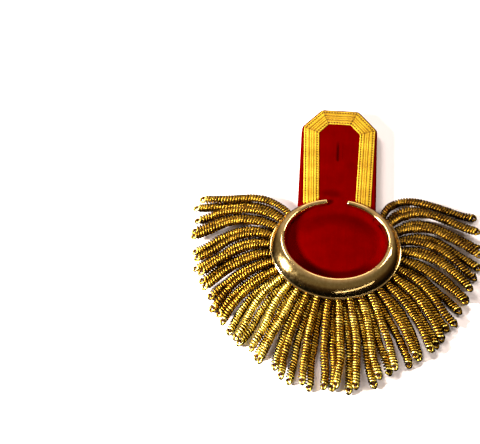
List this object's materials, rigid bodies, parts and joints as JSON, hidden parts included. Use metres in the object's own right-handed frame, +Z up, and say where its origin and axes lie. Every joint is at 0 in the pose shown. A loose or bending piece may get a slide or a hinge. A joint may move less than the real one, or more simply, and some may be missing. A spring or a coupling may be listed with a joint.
{
  "type": "bullion epaulette",
  "caption": "Epaulette lying flat: red cloth shoulder strap with gold lace border and buttonhole, oval end framed by a brass crescent, and thick wound gold fringe strands in rows.",
  "frame": {"origin": "on the underside, below the middle of the crescent's oval", "axes": "+Z up out of the cloth's face, +Y along the strap towards its cut end, fringe towards -Y"},
  "size_m": [0.2296, 0.2389, 0.0212],
  "materials": {
    "cloth": "matte wool",
    "lace": "woven gold lace",
    "brass": "polished",
    "bullion": "dull gilt wire"
  },
  "bodies": {
    "root": {"cloth_body": "cloth", "gold_lace": "lace", "crescent": "brass", "fringe_lower": "bullion", "fringe_upper": "bullion"}
  },
  "joints": []
}
